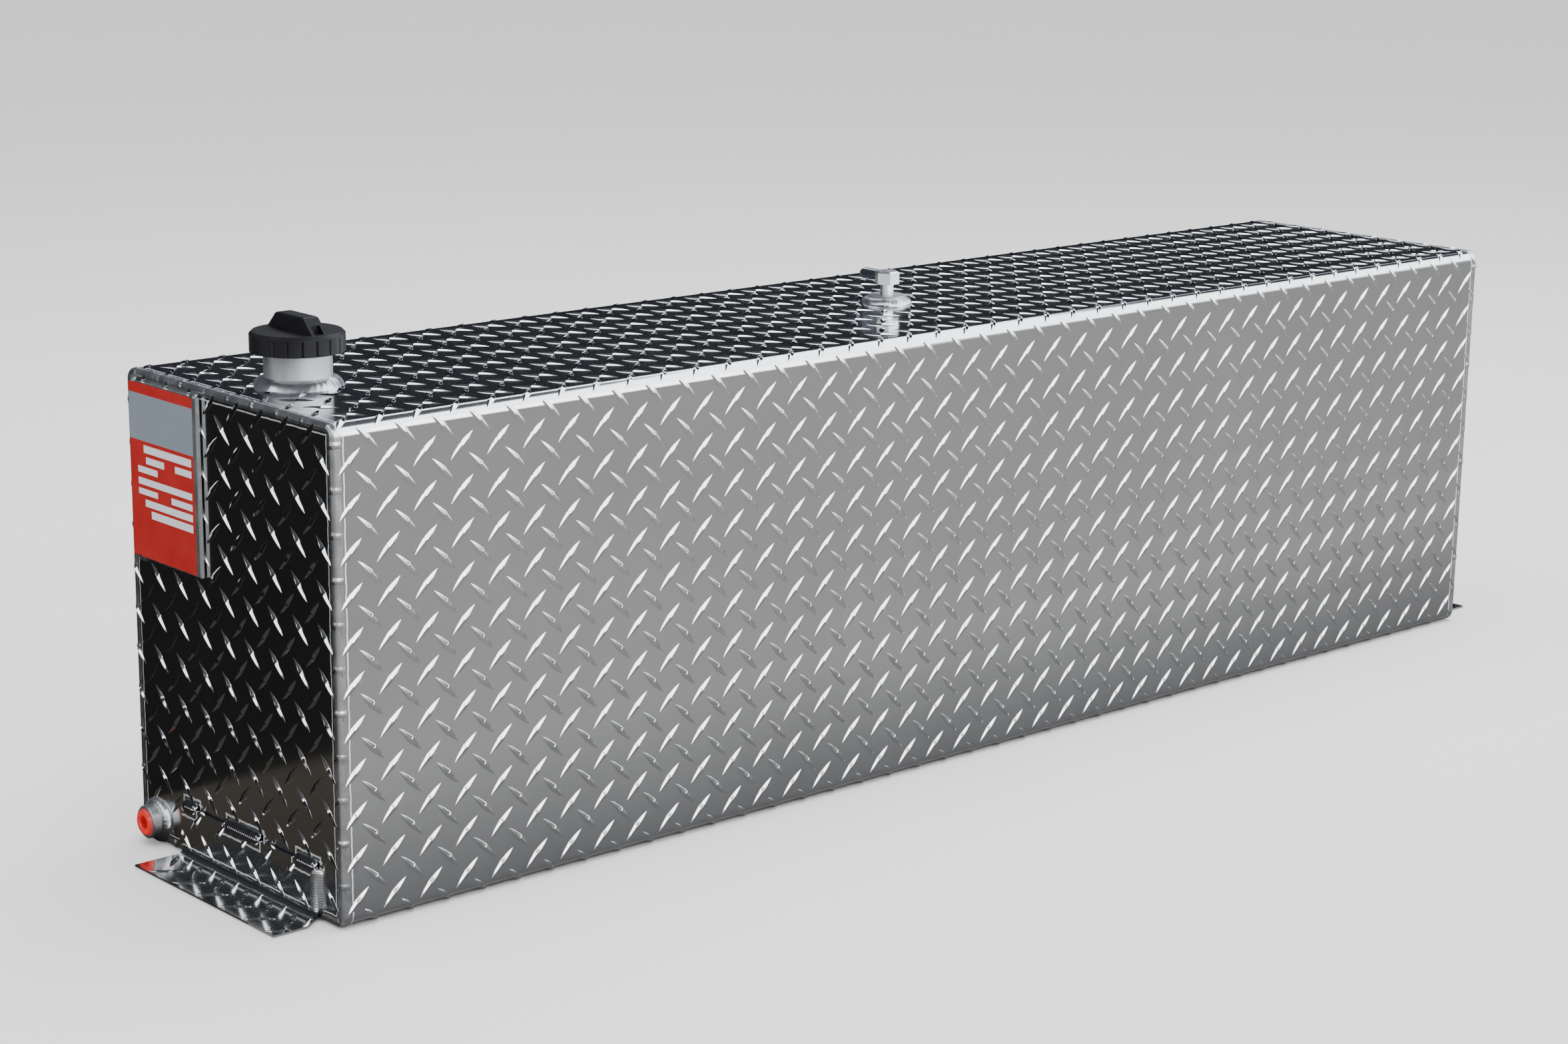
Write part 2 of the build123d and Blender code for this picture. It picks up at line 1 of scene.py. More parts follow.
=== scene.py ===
# %% [markdown]
# # A truck bed transfer tank in bright tread plate
#
# The tank is a folded and welded box of tread plate. Its solids come ready made, in metres, and
# this notebook gives them their finish: raised lugs on every sheet, rippled weld beads, a moulded
# cap, and a metal that mirrors the studio. The first cell loads the solids.

from math import cos, floor, pi, radians, sin, sqrt

import bmesh
import bpy
from mathutils import Matrix, Vector


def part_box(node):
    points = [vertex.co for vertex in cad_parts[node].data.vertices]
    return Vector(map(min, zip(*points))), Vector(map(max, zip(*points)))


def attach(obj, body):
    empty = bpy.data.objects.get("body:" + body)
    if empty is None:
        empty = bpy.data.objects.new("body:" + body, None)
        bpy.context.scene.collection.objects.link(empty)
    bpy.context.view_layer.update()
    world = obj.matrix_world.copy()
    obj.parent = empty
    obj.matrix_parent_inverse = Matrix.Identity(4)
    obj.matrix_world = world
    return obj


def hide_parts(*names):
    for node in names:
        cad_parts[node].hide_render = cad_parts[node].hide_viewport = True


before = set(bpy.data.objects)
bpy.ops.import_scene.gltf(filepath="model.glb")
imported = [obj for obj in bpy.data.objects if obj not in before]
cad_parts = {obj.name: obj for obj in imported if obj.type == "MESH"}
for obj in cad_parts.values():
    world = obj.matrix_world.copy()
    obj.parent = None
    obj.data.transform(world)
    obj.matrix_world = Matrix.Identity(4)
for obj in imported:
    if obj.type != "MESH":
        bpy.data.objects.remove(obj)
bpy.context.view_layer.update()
MM = 0.001

# %% [markdown]
# ## Where the sheets are
#
# The folded wrap makes the front, top, back and bottom, and the two end plates sit flush in its
# ends. Their places could be typed in from a drawing. They are read from the solids' own boxes
# instead, so no place is written twice and every piece made here fits the solid that carries it.

# %% Measure the sheets
wrap_low, wrap_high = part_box("tank_wrap")
plate_low, plate_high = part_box("left_end_plate")
FRONT, BACK = wrap_low.y, wrap_high.y
BASE, TOP = wrap_low.z, wrap_high.z
LEFT, SHEET = plate_low.x, plate_high.x - plate_low.x
RIGHT = -LEFT
LENGTH, DEPTH, HEIGHT = RIGHT - LEFT, BACK - FRONT, TOP - BASE
BEND = 11.5 * MM
print("tank", round(LENGTH, 4), "x", round(DEPTH, 4), "x", round(HEIGHT, 4), "sheet", round(SHEET, 4))

# %% [markdown]
# ## The camera
#
# The photograph was taken from the front left corner with a long lens, a little above the tank.
# A camera could be turned by eye until the view looks right. This one's height, turn and lens were
# worked out from the places of the tank's corners, its neck and its vent in the picture of 2354 by
# 1568 pixels, because then the render can be laid beside the picture, piece by piece.

# %% Set the camera
PICTURE_WIDTH = 2354
FOCAL_PIXELS = 4584.8
SENSOR = 36.0
azimuth, elevation, roll = radians(-42.106), radians(13.640), radians(0.746)
viewpoint = Vector((-2.1552, -2.2321, 0.9604))

camera_data = bpy.data.cameras.new("camera")
camera_data.sensor_width = SENSOR
camera_data.lens = FOCAL_PIXELS / PICTURE_WIDTH * SENSOR
camera = bpy.data.objects.new("camera", camera_data)
bpy.context.scene.collection.objects.link(camera)
bpy.context.scene.camera = camera
backwards = Vector((sin(azimuth) * cos(elevation), -cos(azimuth) * cos(elevation), sin(elevation)))
aim = backwards.to_track_quat("Z", "Y").to_matrix().to_4x4()
camera.matrix_world = Matrix.Translation(viewpoint) @ aim @ Matrix.Rotation(roll, 4, "Z")
print("lens", round(camera_data.lens, 1), "mm")

# %% [markdown]
# ## Shader maths as Python
#
# A finish needs dozens of nodes, and they could be wired one by one. A socket in a small wrapper
# can be added, multiplied and compared like a number instead, and each sign adds one Math node, so
# a pattern reads as a sum. `node` adds any other kind of node: its settings come first, then what
# feeds its sockets, and the wrapper of one output comes back.


# %% Wrap a socket
class Shade:
    """One output socket of a material, with arithmetic."""

    def __init__(self, tree, socket=None):
        self.tree = tree
        self.socket = socket

    def node(self, kind, feeds=None, output=0, **settings):
        made = self.tree.nodes.new("ShaderNode" + kind)
        for name, value in settings.items():
            setattr(made, name, value)
        for name, value in (feeds or {}).items():
            if isinstance(value, Shade):
                self.tree.links.new(value.socket, made.inputs[name])
            else:
                made.inputs[name].default_value = value
        return Shade(self.tree, made.outputs[output])

    def math(self, operation, first, second=0.0):
        return self.node("Math", {0: first, 1: second}, operation=operation)

    def __add__(self, other):
        return self.math("ADD", self, other)

    def __sub__(self, other):
        return self.math("SUBTRACT", self, other)

    def __rsub__(self, other):
        return self.math("SUBTRACT", other, self)

    def __mul__(self, other):
        return self.math("MULTIPLY", self, other)

    def __gt__(self, other):
        return self.math("GREATER_THAN", self, other)

    def __lt__(self, other):
        return self.math("LESS_THAN", self, other)

    __radd__ = __add__
    __rmul__ = __mul__

    def within(self, low, high):
        """1 where the value lies between low and high, and 0 elsewhere."""
        return (self > low) * (self < high)

    def between(self, low, high):
        """The value moved from 0..1 to low..high."""
        return self * (high - low) + low


def colour(red, green, blue):
    return (red, green, blue, 1.0)


# %% [markdown]
# ## A material from a recipe
#
# Each finish is a Principled shader. `new_finish` makes it and hands back the shader, a wrapper to
# build patterns with, and the surface's own place in metres, read from Object coordinates, so a
# pattern stays on its piece when the piece moves.

# %% Start a finish
FINISHES = {}
GRAIN = 0.2 * MM


def new_finish(name, base, metallic=0.0, roughness=0.4, **sockets):
    material = bpy.data.materials.new(name)
    material.use_nodes = True
    tree = material.node_tree
    shader = tree.nodes["Principled BSDF"]
    shader.inputs["Base Color"].default_value = colour(*base)
    shader.inputs["Metallic"].default_value = metallic
    shader.inputs["Roughness"].default_value = roughness
    for socket, value in sockets.items():
        shader.inputs[socket.replace("_", " ")].default_value = value
    FINISHES[name] = material
    start = Shade(tree)
    place = start.node("TexCoord", output="Object")
    return shader, start, place


def feed(shader, socket, value):
    value.tree.links.new(value.socket, shader.inputs[socket])


def stretched(start, place, x, y, z):
    """The place scaled on each axis, for patterns that run along one of them."""
    return start.node("Mapping", {"Vector": place, "Scale": (x, y, z)})


def noise(start, place, scale, detail=3.0, roughness=0.5):
    feeds = {"Vector": place, "Scale": scale, "Detail": detail, "Roughness": roughness}
    return start.node("TexNoise", feeds)


def blend_colours(start, factor, first, second):
    feeds = {"Factor": factor, 6: first, 7: second}
    return start.node("Mix", feeds, output=2, data_type="RGBA")


def tint(start, shader, factor, first, second):
    """Colours the surface from the first colour to the second as the factor goes from 0 to 1."""
    feed(shader, "Base Color", blend_colours(start, factor, colour(*first), colour(*second)))


def dent(start, shader, height, strength, distance):
    bump = start.node("Bump", {"Strength": strength, "Distance": distance, "Height": height})
    feed(shader, "Normal", bump)


# %% [markdown]
# ## Where the welder's heat went
#
# A thin frosted line runs beside every bead, where the heat stopped. It could be painted on an
# image, but the plate would then need unwrapping, and a distance needs neither. `edge_halo` draws
# the line beside the corner beads, and `patch_halo` round a stitch. Both measure how far a point of
# the plate is from the bead, and a little noise makes the line wander.

# %% Draw the frosted lines
TOE = 4.5 * MM
EDGE_AWAY, EDGE_WIDE, EDGE_WANDER = 2.4 * MM, 1.3 * MM, 0.9 * MM
PATCH_AWAY, PATCH_WIDE, PATCH_WANDER = 2.6 * MM, 2.0 * MM, 1.2 * MM
STITCH_REACH = 6.0 * MM
LUG_HIGH = 1.3 * MM
LEG_FACE = RIGHT + LUG_HIGH + SHEET
foot_low, foot_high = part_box("left_foot_bracket")
# Where each stitch ends along Y, in millimetres, at its back and at its front
STITCHES = ((88.0, 65.0), (16.0, -40.0), (-96.0, -129.0))


def axes(start, place):
    return [start.node("SeparateXYZ", {0: place}, output=axis) for axis in range(3)]


def line(distance, away, wide):
    """1 where the distance is within half a width of the given one."""
    return distance.within(away - wide / 2, away + wide / 2)


def edge_halo(start, place):
    x, y, z = axes(start, place)
    wander = noise(start, place, 110.0, 2.0).between(-EDGE_WANDER, EDGE_WANDER)
    inward_x = (LENGTH / 2 - SHEET - TOE) - start.math("ABSOLUTE", x)
    inward_y = (DEPTH / 2 - SHEET - TOE) - start.math("ABSOLUTE", y)
    inward_z = (HEIGHT / 2 - SHEET - TOE) - start.math("ABSOLUTE", z - (BASE + HEIGHT / 2))
    inward = start.math("MINIMUM", inward_y, inward_z)
    on_wrap_side = line(inward_x + wander, EDGE_AWAY, EDGE_WIDE)
    on_end_side = line(inward + wander, EDGE_AWAY, EDGE_WIDE)
    return start.math("MINIMUM", on_wrap_side + on_end_side, 1.0)


def patch_halo(start, place):
    x, y, z = axes(start, place)
    wander = noise(start, place, 160.0, 2.0).between(-PATCH_WANDER, PATCH_WANDER)
    near_end = start.math("ABSOLUTE", x) > LENGTH / 2 - 0.5 * MM
    total = None
    for back_y, front_y in STITCHES:
        middle, half = (back_y + front_y) / 2 * MM, (back_y - front_y) / 2 * MM
        off_y = start.math("ABSOLUTE", y - middle) - half
        off_z = start.math("ABSOLUTE", z - foot_high.z) - STITCH_REACH
        mark = line(start.math("MAXIMUM", off_y, off_z) + wander, PATCH_AWAY, PATCH_WIDE)
        total = mark if total is None else start.math("MAXIMUM", total, mark)
    return total * near_end


print("frosted lines beside", len(STITCHES), "stitches and both corner beads")

# %% [markdown]
# ## Bright rolled plate
#
# Tread plate is rolled with a near mirror finish. A plain mirror would look like chrome, because
# real plate has faint streaks along the rolling direction and cloudy patches where the oil dried.
# The streaks are noise stretched along X, the clouds are broad noise, and both move the roughness
# a little more than the colour. The frosted lines beside the beads are mixed in last.

# %% Mix the plate
FROST = (0.93, 0.94, 0.95)
FROST_ROUGH = 0.55
FROST_COVER = 0.85


def plate_finish(name, base, roughness, cloud_scale=5.0, halo=False):
    shader, start, place = new_finish(name, base, metallic=1.0, roughness=roughness)
    streaks = noise(start, stretched(start, place, 3.0, 260.0, 260.0), 1.0, 2.0)
    clouds = noise(start, place, cloud_scale, 5.0, 0.6)
    specks = noise(start, place, 420.0, 1.0)
    mixed = streaks * 0.5 + clouds * 0.5
    rough = mixed.between(roughness * 0.6, roughness * 1.4)
    darker = tuple(channel * 0.80 for channel in base)
    tone = blend_colours(start, clouds, colour(*darker), colour(*base))
    if halo:
        frost = start.math("MAXIMUM", edge_halo(start, place), patch_halo(start, place))
        rough = start.math("MAXIMUM", rough, frost * FROST_ROUGH)
        tone = blend_colours(start, frost * FROST_COVER, tone, colour(*FROST))
    feed(shader, "Roughness", rough)
    feed(shader, "Base Color", tone)
    dent(start, shader, streaks + specks * 0.5, 0.05, GRAIN)


plate_finish("rolled_plate", (0.90, 0.905, 0.91), 0.12, halo=True)
plate_finish("plate_lugs", (0.93, 0.94, 0.95), 0.07, 30.0)
plate_finish("mill_sheet", (0.62, 0.63, 0.64), 0.34)
print("plate finishes", sorted(FINISHES))

# %% [markdown]
# ## Weld metal, pipe and plated steel
#
# A weld bead is frosted, and greyer where soot lies. The pipe neck is turned and handled metal:
# dull, with fine rings and pale smears. Each could be one flat grey, but two or three scales of
# noise, in the roughness as much as in the colour, tell cast, turned and plated metal apart.

# %% Mix the weld metal, the pipe and the steel
shader, start, place = new_finish("weld_metal", (0.80, 0.81, 0.82), metallic=1.0, roughness=0.3)
soot = noise(start, place, 90.0, 4.0)
grain = noise(start, place, 900.0, 2.0)
feed(shader, "Roughness", soot.between(0.22, 0.40))
tint(start, shader, soot, (0.42, 0.43, 0.45), (0.72, 0.73, 0.75))
dent(start, shader, grain, 0.12, GRAIN)

shader, start, place = new_finish("wet_weld", (0.42, 0.43, 0.45), metallic=1.0, roughness=0.12)
feed(shader, "Roughness", noise(start, place, 240.0, 3.0).between(0.08, 0.20))

shader, start, place = new_finish("turned_pipe", (0.60, 0.61, 0.62), metallic=1.0, roughness=0.45)
smears = noise(start, place, 45.0, 5.0, 0.65)
rings = noise(start, stretched(start, place, 20.0, 20.0, 1500.0), 1.0, 2.0)
feed(shader, "Roughness", smears.between(0.34, 0.62))
tint(start, shader, smears, (0.24, 0.25, 0.27), (0.54, 0.55, 0.56))
dent(start, shader, rings, 0.12, GRAIN)

shader, start, place = new_finish("plated_steel", (0.72, 0.73, 0.74), metallic=1.0, roughness=0.28)
scuffs = noise(start, place, 160.0, 4.0)
feed(shader, "Roughness", scuffs.between(0.20, 0.42))
dent(start, shader, scuffs, 0.08, GRAIN)

shader, start, place = new_finish("vent_bonnet_metal", (0.30, 0.34, 0.40), metallic=1.0, roughness=0.22)
feed(shader, "Roughness", noise(start, place, 220.0, 3.0).between(0.14, 0.32))
print("metal finishes", len(FINISHES))

# %% [markdown]
# ## Plastics and rubber
#
# The cap is black nylon with a fine moulded grain, and the outlet's plug is shiny red polythene
# with paler flow marks. The grain could be modelled, but it is finer than a face can be, so it is
# left to a bump. Wear dulls the nylon in patches, and the plug has a thin clear coat.

# %% Mix the plastics and the rubber
shader, start, place = new_finish(
    "black_nylon", (0.006, 0.006, 0.007), roughness=0.45, Specular_IOR_Level=0.24
)
grain = noise(start, place, 700.0, 2.0)
wear = noise(start, place, 60.0, 4.0, 0.6)
feed(shader, "Roughness", wear.between(0.30, 0.58))
tint(start, shader, wear, (0.003, 0.003, 0.004), (0.008, 0.008, 0.010))
dent(start, shader, grain, 0.10, GRAIN)

shader, start, place = new_finish("seal_rubber", (0.03, 0.03, 0.03), roughness=0.75)
feed(shader, "Roughness", noise(start, place, 300.0, 3.0).between(0.65, 0.85))

shader, start, place = new_finish(
    "red_polythene", (0.62, 0.015, 0.012), roughness=0.25, Coat_Weight=0.3
)
flow = noise(start, place, 120.0, 3.0)
feed(shader, "Roughness", flow.between(0.20, 0.38))
tint(start, shader, flow, (0.46, 0.008, 0.008), (0.72, 0.02, 0.015))
print("finishes so far", len(FINISHES))

# %% [markdown]
# ## The nameplate's print
#
# The plate on the left end is printed red round blank fields and a bare panel. The print could be
# an image, but then a file would have to travel with the tank. Each field is a box test on the
# surface's own Y and Z instead, in millimetres from the label's corner, and stays sharp close up.

# %% Print the nameplate
label_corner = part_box("nameplate_label")[1]
# The print's width in millimetres, then the panel and the blank fields as back, front, top, bottom
PRINT_WIDE = 107.3
PANEL = (0.0, PRINT_WIDE, 9.5, 52.3)
FIELDS = (
    (23.0, 103.3, 55.8, 62.9),
    (26.3, 57.3, 66.4, 72.7),
    (75.7, 103.3, 66.4, 72.7),
    (12.3, 45.7, 75.8, 81.8),
    (12.3, 103.3, 86.4, 92.7),
    (12.3, 45.0, 96.2, 101.8),
    (68.0, 103.3, 96.5, 102.5),
    (23.0, 103.3, 105.7, 112.3),
    (33.0, 103.3, 115.1, 122.2),
)
shader, start, place = new_finish(
    "nameplate_print", (0.5, 0.03, 0.02), roughness=0.3, Specular_IOR_Level=0.3
)
_, y, z = axes(start, place)
from_back = (label_corner.y - y) * 1000
from_top = (label_corner.z - z) * 1000


def box_mask(box):
    left, right, top, bottom = box
    return from_back.within(left, right) * from_top.within(top, bottom)


fields = None
for box in FIELDS:
    mask = box_mask(box)
    fields = mask if fields is None else start.math("MAXIMUM", fields, mask)
panel = box_mask(PANEL)
bare = from_back > PRINT_WIDE
fade = noise(start, place, 40.0, 3.0)
red = blend_colours(start, fade, colour(0.25, 0.006, 0.005), colour(0.32, 0.010, 0.008))
printed = blend_colours(start, panel, red, colour(0.20, 0.23, 0.27))
printed = blend_colours(start, fields, printed, colour(0.46, 0.48, 0.52))
feed(shader, "Base Color", blend_colours(start, bare, printed, colour(0.80, 0.81, 0.82)))
metal = start.math("MAXIMUM", panel * 0.3, bare)
feed(shader, "Metallic", metal)
feed(shader, "Roughness", fade.between(0.26, 0.42))
print("label with", len(FIELDS), "blank fields and a bare panel")

# %% [markdown]
# ## Hands on the mesh
#
# Operators act on whatever is selected, so small helpers do what a modeller's hands do. `only`
# starts from nothing selected but one piece, and `pick` selects its points by their place.
# `mesh_piece` makes a piece from points and faces, and `keep` leaves it at the origin with its
# place in its mesh, smooths it, paints it and hands it to its body.


# %% Prepare the hands
def only(piece):
    if bpy.context.object and bpy.context.object.mode != "OBJECT":
        bpy.ops.object.mode_set(mode="OBJECT")
    bpy.ops.object.select_all(action="DESELECT")
    bpy.context.view_layer.objects.active = piece
    piece.select_set(True)


def pick(piece, wanted):
    """Edit mode on one piece, with the vertices selected whose place passes the test."""
    only(piece)
    bpy.ops.object.mode_set(mode="EDIT")
    bpy.ops.mesh.select_mode(type="VERT")
    bpy.ops.mesh.select_all(action="DESELECT")
    mesh = bmesh.from_edit_mesh(piece.data)
    count = 0
    for vertex in mesh.verts:
        if wanted(vertex.co):
            vertex.select_set(True)
            count += 1
    mesh.select_flush(True)
    bmesh.update_edit_mesh(piece.data)
    return count


def keep(piece, name, finish, body, slot, *nodes, angle):
    """Names a finished piece, paints it, and puts it on its body in place of its solids."""
    only(piece)
    bpy.ops.object.transform_apply(location=True, rotation=True, scale=True)
    bpy.ops.object.shade_smooth_by_angle(angle=radians(angle))
    piece.name = name
    piece.data.name = name
    piece.data.materials.clear()
    piece.data.materials.append(FINISHES[finish])
    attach(piece, body)
    if nodes:
        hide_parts(*nodes)


def mesh_piece(name, points, faces):
    mesh = bpy.data.meshes.new(name)
    mesh.from_pydata(points, [], faces)
    piece = bpy.data.objects.new(name, mesh)
    bpy.context.scene.collection.objects.link(piece)
    return piece


# %% [markdown]
# ## One lug
#
# A lug is a low roof with pointed tips, made by a two-sided cut in the roller. In one half the
# ridge runs nearer one edge and in the other half nearer the other, so each half has a wide,
# gentle flank and a narrow, steep one, and mirrors two parts of the room. A crease crosses the
# middle, with a small ear on each side, and the flanks end in a short steep foot that draws the
# lug's outline. A bump in the material would be less work, but it leaves the sheet's edge straight
# and is lost from the bare mesh. There are hundreds of lugs, so a grid of a few dozen faces has to
# do: its vertices are drawn together towards the middle, moved to the outline and lifted.

# %% Shape one lug
PITCH = 38.5 * MM
LUG_LONG = 33.5 * MM
LUG_WIDE = 5.8 * MM
RIDGE_OFF = 0.65 * MM
EAR_OUT = 0.45 * MM
# Shares of the lug's height: the crease's, the foot's, and what an ear adds to the foot
CREASE_UP, FOOT_UP, EAR_UP = 0.86, 0.24, 0.07
# Shares of a flank's width and of the lug's half length: where the foot starts and the ear ends
FOOT_IN, EAR_END = 0.88, 0.16
# Powers: how the stations crowd to the middle, and how blunt the tips are
CROWDING, BLUNTNESS = 1.9, 0.85
LUG_CREASE = 14
LUG_STATIONS = 12
LUG_STRIPS = 4

bpy.ops.object.select_all(action="DESELECT")
bpy.ops.mesh.primitive_grid_add(x_subdivisions=LUG_STATIONS, y_subdivisions=LUG_STRIPS, size=2)
lug = bpy.context.object
for vertex in lug.data.vertices:
    half = (vertex.co.x > 0.01) - (vertex.co.x < -0.01)
    along, over = abs(vertex.co.x) ** CROWDING, vertex.co.y
    spread = max(0.0, 1 - along**2) ** BLUNTNESS
    ear = max(0.0, 1 - (along / EAR_END) ** 2)
    ridge = -half * RIDGE_OFF * spread
    edge = (LUG_WIDE / 2 * spread + EAR_OUT * ear) * (1 if over > 0 else -1)
    # The ridge, the top of the foot and the outline: how far out, and how high
    rows = ((0.0, 1.0 if half else CREASE_UP), (FOOT_IN, FOOT_UP + EAR_UP * ear), (1.0, 0.0))
    out, rise = rows[round(abs(over) * 2)]
    side = ridge + (edge - ridge) * out
    vertex.co = (half * along * LUG_LONG / 2, side, LUG_HIGH * spread * rise)
LUG_POINTS = [vertex.co.copy() for vertex in lug.data.vertices]
LUG_FACES = [tuple(face.vertices) for face in lug.data.polygons]
bpy.data.objects.remove(lug)
print("one lug has", len(LUG_FACES), "faces")

# %% [markdown]
# ## Copying the lug over a sheet
#
# On the flat sheet the lugs stand at plus and minus 45 degrees on two square lattices, half a
# pitch apart, and the two sets mirror each other: that is their hand. Array modifiers could repeat
# them on a flat sheet, but this sheet folds, and its lugs fold with it. So `stamp` copies the lug
# to each place of a list, and a placing function says where a point of the flat sheet is on the
# folded one. The copies are one mesh of their own, which `trim` and `clear_disc` cut to its edges.


# %% Lay out and stamp the lugs
def lattice(across, down, spots, hand=1):
    """Places (u, v, turn, hand) of the two sets of lugs that fall in the spots' ranges."""
    low_u, high_u, low_v, high_v = spots
    both_sets = ((across, radians(45), hand), (down, radians(-45), -hand))
    places = []
    for (start_u, start_v), turn, own_hand in both_sets:
        first_u, first_v = floor((low_u - start_u) / PITCH), floor((low_v - start_v) / PITCH)
        for i in range(first_u, first_u + int((high_u - low_u) / PITCH) + 3):
            for j in range(first_v, first_v + int((high_v - low_v) / PITCH) + 3):
                u, v = start_u + i * PITCH, start_v + j * PITCH
                if low_u <= u <= high_u and low_v <= v <= high_v:
                    places.append((u, v, turn, own_hand))
    return places


def stamp(name, places, put, mirrored=False):
    """Copies of the lug at flat places, moved on to the sheet by put(u, v, rise)."""
    points, faces = [], []
    for u, v, turn, hand in places:
        first = len(points)
        c, s = cos(turn), sin(turn)
        shape = [(p.x, p.y * hand, p.z) for p in LUG_POINTS]
        points += [put(u + x * c - y * s, v + x * s + y * c, z) for x, y, z in shape]
        order = -hand if mirrored else hand
        faces += [tuple(first + corner for corner in face[::order]) for face in LUG_FACES]
    return mesh_piece(name, points, faces)


def trim(piece, *planes):
    """Cuts the piece back to the inner side of each plane, given by a point and an outward normal."""
    only(piece)
    bpy.ops.object.mode_set(mode="EDIT")
    for point, normal in planes:
        bpy.ops.mesh.select_all(action="SELECT")
        bpy.ops.mesh.bisect(plane_co=point, plane_no=normal, clear_outer=True)
    bpy.ops.object.mode_set(mode="OBJECT")


def clear_disc(piece, centre, radius):
    """Deletes what lies inside a disc, where a boss is welded over the lugs."""
    count = pick(piece, lambda p: (p - centre).length < radius)
    if count:
        bpy.ops.mesh.delete(type="VERT")
    bpy.ops.object.mode_set(mode="OBJECT")
    return count


# %% [markdown]
# ## Folding the sheet
#
# The wrap is one sheet, so its lugs run round the bends. A curve modifier could lead a flat mesh
# round. `around` works out the place instead, so that lugs and corner beads can count distance in
# the same way: it turns a distance along the sheet, counted from the middle of the front top bend
# towards the back, into a point of the rounded rectangle, which is four quarter bends, each
# followed by a flat.

# %% Fold the sheet
ARC = BEND * pi / 2
CORNERS = (
    (FRONT + BEND, TOP - BEND, DEPTH - 2 * BEND),
    (BACK - BEND, TOP - BEND, HEIGHT - 2 * BEND),
    (BACK - BEND, BASE + BEND, DEPTH - 2 * BEND),
    (FRONT + BEND, BASE + BEND, HEIGHT - 2 * BEND),
)
GIRTH = 4 * ARC + sum(flat for _, _, flat in CORNERS)


def around(distance, rise):
    """(y, z) of a point at that distance round the wrap and that height above its outside."""
    rest = (distance + ARC / 2) % GIRTH
    for quarter, (y, z, flat) in enumerate(CORNERS):
        turn = quarter * pi / 2 + min(rest, ARC) / BEND
        run = min(max(rest - ARC, 0.0), flat)
        if rest <= ARC + flat or quarter == 3:
            out_y, out_z = -cos(turn), sin(turn)
            return y + out_y * (BEND + rise) + out_z * run, z + out_z * (BEND + rise) - out_y * run
        rest -= ARC + flat


def on_wrap(u, v, rise):
    return (LEFT + u, *around(v, rise))


print("girth of the wrap", round(GIRTH, 4))

# %% [markdown]
# ## Lugs on the wrap
#
# One lattice covers the whole wrap, from one side of the seam, low on the back, round to the
# other, because on the real tank the pattern doesn't start anew at a fold. It is stamped in four
# pieces, one for each face, which keeps each mesh light, and each takes the bend after it.

# %% Stamp the wrap
HALF_TAKE_UP = BEND - ARC / 2
SLASH_FRONT = (0.38 * PITCH, -(0.88 * PITCH - HALF_TAKE_UP))
BACKSLASH_FRONT = (0.88 * PITCH, -(0.38 * PITCH - HALF_TAKE_UP))
SEAM_UP = 70.0 * MM
OVERHANG = LUG_LONG / 3
top_end = ARC / 2 + DEPTH - 2 * BEND
seam_from_top = top_end + ARC + HEIGHT - BEND - SEAM_UP
front_end = -(ARC / 2 + HEIGHT - 2 * BEND)
seam_from_bottom = seam_from_top - GIRTH
SIDE_SHARES = {
    "front_lugs": (front_end - ARC, 0.0, ("front_tread",)),
    "top_lugs": (0.0, top_end, ("top_tread",)),
    "back_lugs": (top_end, seam_from_top - OVERHANG, ()),
    "bottom_lugs": (seam_from_bottom + OVERHANG, front_end - ARC, ()),
}
wrap_lugs = {}
for name, (low, high, nodes) in SIDE_SHARES.items():
    places = lattice(SLASH_FRONT, BACKSLASH_FRONT, (-OVERHANG, LENGTH + OVERHANG, low, high))
    piece = stamp(name, places, on_wrap)
    trim(piece, ((LEFT + SHEET, 0, 0), (-1, 0, 0)), ((RIGHT - SHEET, 0, 0), (1, 0, 0)))
    wrap_lugs[name] = (piece, nodes)
    print(name, len(places), "lugs,", len(piece.data.polygons), "faces")

# %% [markdown]
# ## Room for the bosses
#
# The neck and the vent's boss are welded over the sheet, and their beads swallow the lugs that
# they cross. A boolean could cut round holes, but it wants closed shapes, and the lugs are open
# below. Deleting the points inside a disc looks the same, because the bead hides the ragged edge.

# %% Clear the bosses
NECK_BEAD_REACH = 4.0 * MM
BOSS_BEAD_REACH = 2.5 * MM
neck_low, neck_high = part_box("fill_neck")
neck_centre = (neck_low + neck_high) / 2
NECK_RADIUS = (neck_high.x - neck_low.x) / 2
bung_low, bung_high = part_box("vent_bung")
VENT_RADIUS = (bung_high.x - bung_low.x) / 2
neck_foot = Vector((neck_centre.x, 0, TOP))
vent_foot = Vector((0, 0, TOP))
top_piece = wrap_lugs["top_lugs"][0]
print("cleared", clear_disc(top_piece, neck_foot, NECK_RADIUS + NECK_BEAD_REACH), "points at the neck")
print("cleared", clear_disc(top_piece, vent_foot, VENT_RADIUS + BOSS_BEAD_REACH), "points at the vent")
for name, (piece, nodes) in wrap_lugs.items():
    keep(piece, name, "plate_lugs", "tank", "tread_plate", *nodes, angle=LUG_CREASE)

# %% [markdown]
# ## Lugs on the end plates
#
# The ends are flat, so their lugs need no folding. They come from the same lug and lattice as the
# wrap's, so that all sheets match, but the ends were cut with the rolling direction upright, which
# gives their lugs the other hand. A lug that reaches the corner bead is cut there, as the welder's
# bead covers the rest of it.

# %% Stamp the ends
SLASH_END = (0.61 * PITCH, -0.34 * PITCH)
BACKSLASH_END = (0.11 * PITCH, -0.84 * PITCH)
EDGE = 3.0 * MM
outlet_low, outlet_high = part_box("outlet_bung")
outlet_centre = (outlet_low + outlet_high) / 2
outlet_foot = Vector((LEFT, outlet_centre.y, outlet_centre.z))
OUTLET_RADIUS = (outlet_high.z - outlet_low.z) / 2


